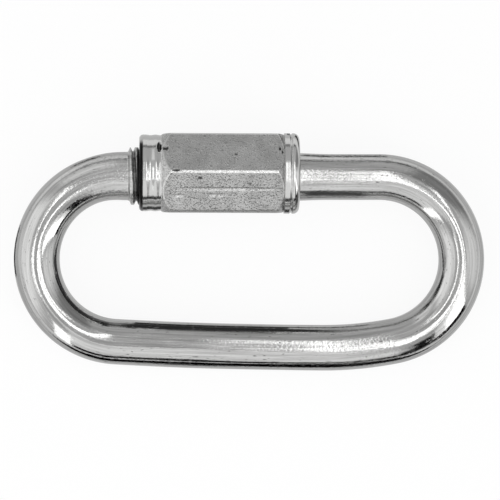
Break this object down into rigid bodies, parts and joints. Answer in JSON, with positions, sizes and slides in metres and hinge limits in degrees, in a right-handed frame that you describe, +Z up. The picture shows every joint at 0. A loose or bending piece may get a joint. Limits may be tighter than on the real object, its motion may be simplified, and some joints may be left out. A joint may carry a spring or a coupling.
{
  "type": "chain quick link",
  "caption": "Oval link bent from round steel rod, closed by a long hexagonal sleeve nut that screws across its gap, for joining chain.",
  "frame": {"origin": "centre of the bounding box in plan, on the surface the link lies on", "axes": "+X along the loop and the nut's axis, towards the end the nut runs back to; +Y from the back leg to the nut; +Z up"},
  "size_m": [0.0484, 0.0244, 0.0091],
  "materials": {
    "rod_steel": "drawn and polished stainless rod",
    "nut_steel": "bright drawn hexagon bar with turned ends"
  },
  "bodies": {
    "link": {"link_body": "rod_steel"},
    "nut": {"sleeve_nut": "nut_steel"}
  },
  "joints": [
    {"name": "nut_travel", "type": "slide", "parent": "link", "child": "nut", "axis": [1, 0, 0], "range_m": [0, 0.0075]}
  ]
}
